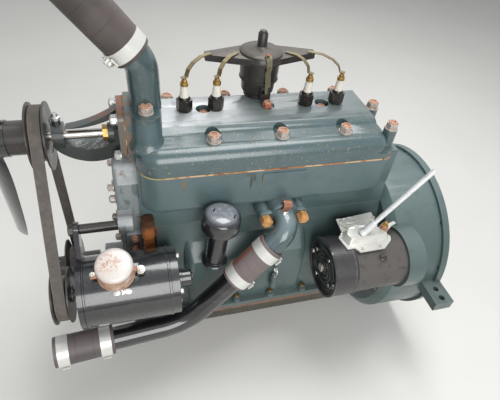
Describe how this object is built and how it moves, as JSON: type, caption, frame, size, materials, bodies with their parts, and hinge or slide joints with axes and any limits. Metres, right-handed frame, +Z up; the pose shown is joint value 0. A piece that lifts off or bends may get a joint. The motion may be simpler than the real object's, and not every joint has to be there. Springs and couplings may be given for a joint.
{
  "type": "vintage inline engine",
  "caption": "Inline side-valve engine with cast head, belt-driven fan and generator, starter, distributor, water pipes, manifolds and an open flywheel housing.",
  "frame": {"origin": "on the crank axis, in the rear face of the flywheel housing where the gearbox bolts on", "axes": "+X to the rear along the crank, +Y to the engine's right side, +Z up"},
  "size_m": [0.902, 0.524, 0.8376],
  "materials": {
    "block_enamel": "weathered",
    "head_enamel": "weathered",
    "cover_enamel": "weathered",
    "black_enamel": "gloss",
    "gasket_copper": "dull",
    "oily_pan": "oily",
    "bare_iron": "rusty",
    "machined_steel": "machined",
    "tin_plate": "dull",
    "brass": "dull",
    "band_aluminium": "bright",
    "hose_rubber": "fabric wrapped",
    "belt_rubber": "worn",
    "black_bakelite": "dusty",
    "plug_steel": "blued",
    "porcelain": "glazed, yellowed"
  },
  "bodies": {
    "engine": {"cylinder_block": "block_enamel", "head_gasket": "gasket_copper", "cylinder_head": "head_enamel", "timing_gear_cover": "cover_enamel", "timing_side_cover": "cover_enamel", "oil_pan": "oily_pan", "flywheel_housing": "block_enamel", "fan_belt": "belt_rubber", "water_pump_body": "cover_enamel", "packing_nut": "brass", "water_outlet": "block_enamel", "upper_hose": "hose_rubber", "inlet_hose": "hose_rubber", "lower_hose": "hose_rubber", "hose_clamps": "band_aluminium", "water_inlet": "block_enamel", "lower_pipe": "black_enamel", "generator_body": "black_enamel", "generator_front": "black_enamel", "pivot_bolt": "bare_iron", "cutout_relay": "tin_plate", "starter_body": "black_enamel", "starter_switch": "tin_plate", "starter_rod": "tin_plate", "distributor_body": "black_enamel", "distributor_cap": "black_bakelite", "spark_plugs": "plug_steel", "plug_straps": "brass", "oil_filler_tube": "black_enamel", "oil_filler_cap": "black_enamel", "dipstick": "tin_plate", "side_plug": "bare_iron", "valve_chamber_cover": "black_enamel", "exhaust_manifold": "bare_iron", "intake_manifold": "bare_iron", "carburettor": "tin_plate"},
    "crankshaft": {"crankshaft": "machined_steel", "crank_pulley": "black_enamel", "starting_ratchet": "black_enamel", "flywheel": "machined_steel", "clutch_cover": "black_enamel"},
    "fan": {"fan_pulley": "black_enamel", "fan_blades": "black_enamel", "pump_shaft": "machined_steel"},
    "generator_rotor": {"generator_pulley": "black_enamel"}
  },
  "joints": [
    {"name": "crank_spin", "type": "hinge", "parent": "engine", "child": "crankshaft", "pos_m": [-0.4, 0, 0], "axis": [1, 0, 0], "continuous": true},
    {"name": "fan_spin", "type": "hinge", "parent": "engine", "child": "fan", "pos_m": [-0.797, 0, 0.338], "axis": [1, 0, 0], "continuous": true},
    {"name": "generator_spin", "type": "hinge", "parent": "engine", "child": "generator_rotor", "pos_m": [-0.797, -0.159, 0.11], "axis": [1, 0, 0], "continuous": true}
  ],
  "couplings": [
    {"joint": "fan_spin", "follows": "crank_spin", "ratio": 1},
    {"joint": "generator_spin", "follows": "crank_spin", "ratio": 1.2051}
  ]
}
